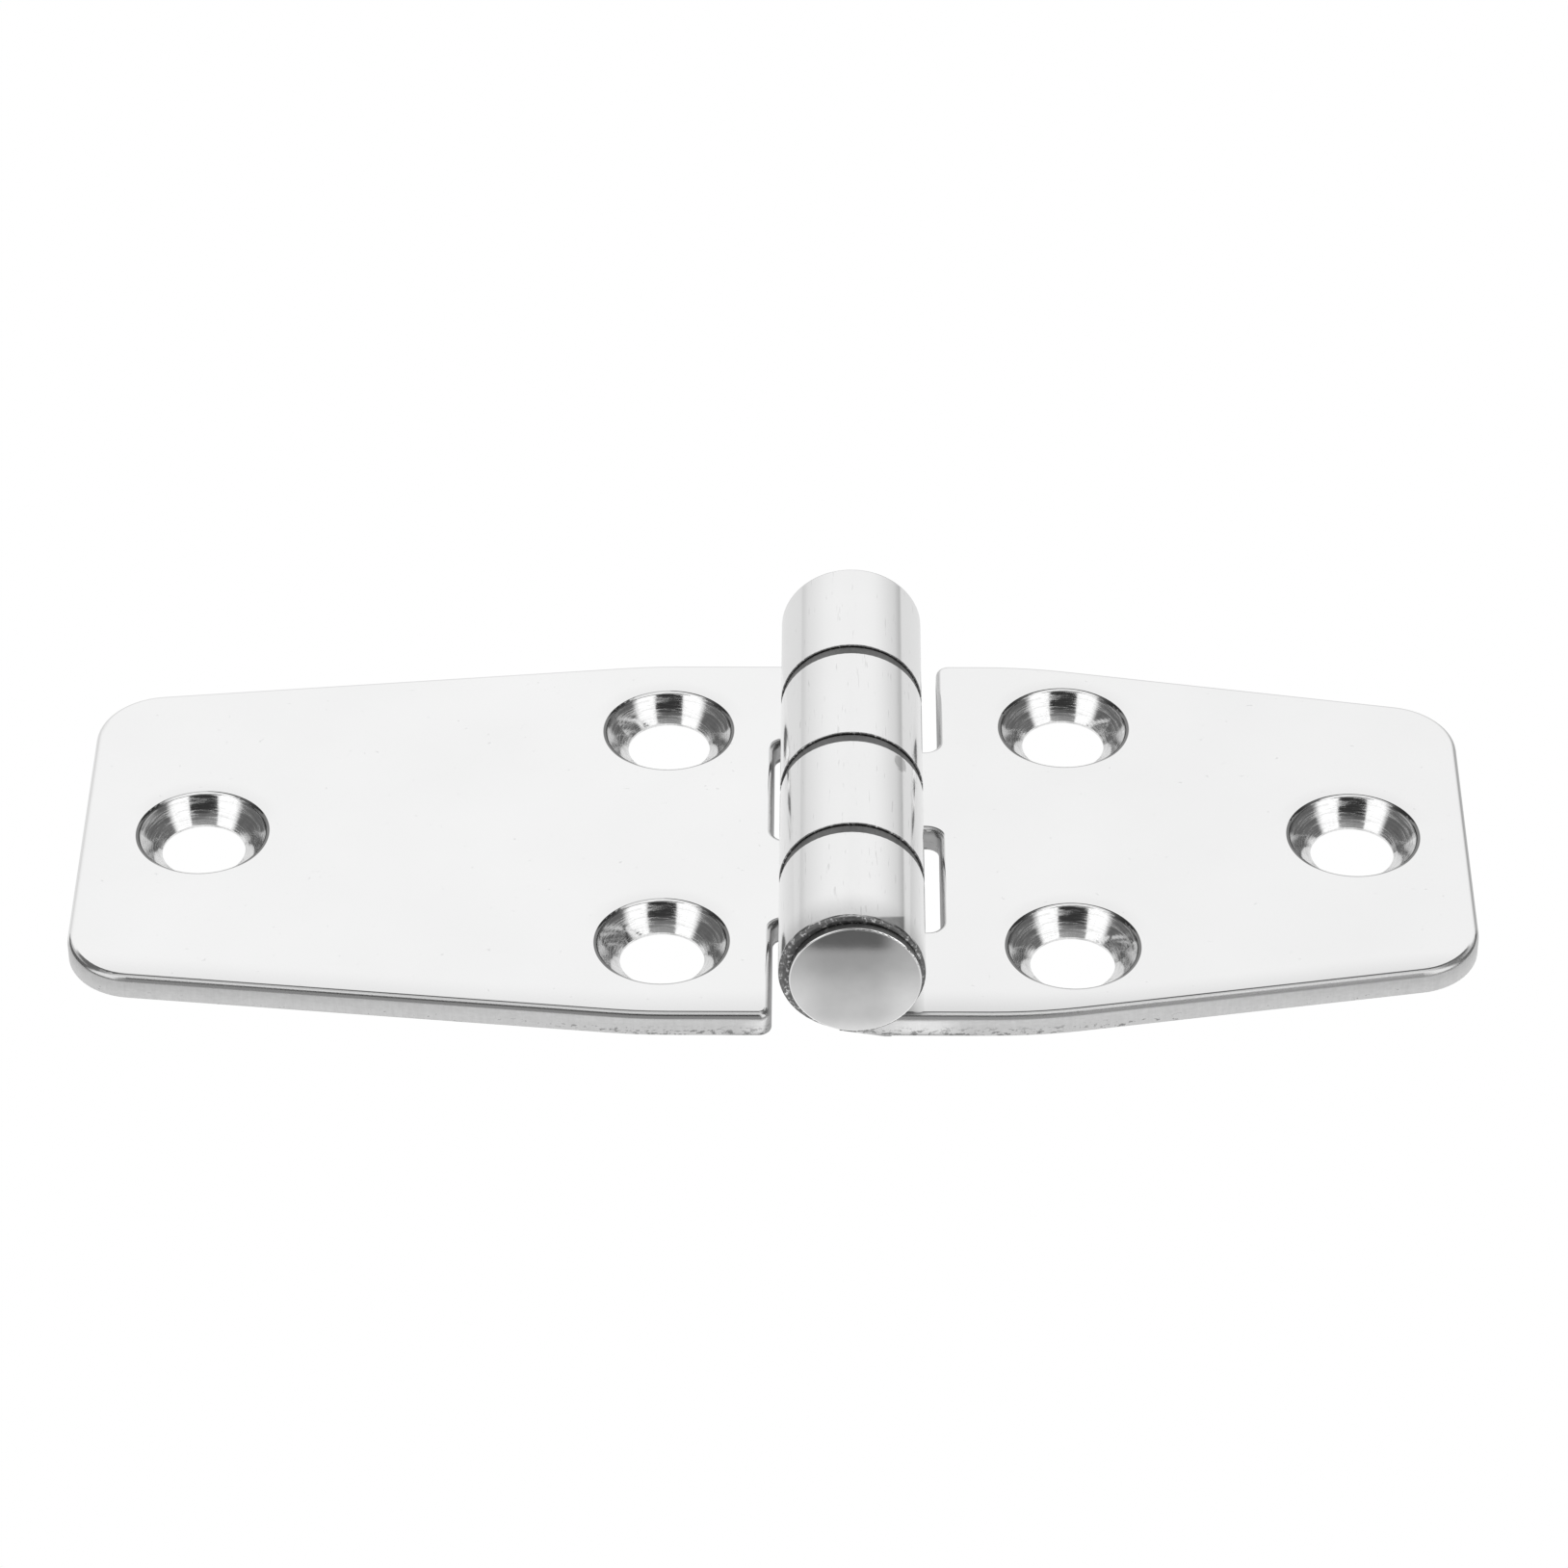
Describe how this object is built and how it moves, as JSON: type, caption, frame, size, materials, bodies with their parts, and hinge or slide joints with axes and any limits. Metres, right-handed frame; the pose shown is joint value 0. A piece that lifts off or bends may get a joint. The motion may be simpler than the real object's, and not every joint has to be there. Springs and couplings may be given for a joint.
{
  "type": "strap hinge",
  "caption": "Flat strap hinge in polished stainless sheet, with one long and one short tapered leaf, rolled knuckles, a headed pin and countersunk screw holes.",
  "frame": {"origin": "on the mounting surface, straight under the middle of the pin", "axes": "+X towards the free end of the short leaf, +Y along the pin away from its thick head, +Z out of the countersunk faces"},
  "size_m": [0.108, 0.0451, 0.0116],
  "materials": {
    "leaf_steel": "mirror polished stainless steel",
    "pin_steel": "polished stainless steel",
    "washer_steel": "dull, rough stainless steel"
  },
  "bodies": {
    "long_side": {"long_leaf": "leaf_steel"},
    "short_side": {"short_leaf": "leaf_steel", "hinge_pin": "pin_steel", "spacer_washer_1": "washer_steel", "spacer_washer_2": "washer_steel", "spacer_washer_3": "washer_steel"}
  },
  "joints": [
    {"name": "leaf_swing", "type": "hinge", "parent": "long_side", "child": "short_side", "pos_m": [0, 0, 0.00605], "axis": [0, -1, 0], "range_deg": [-90, 180]}
  ]
}
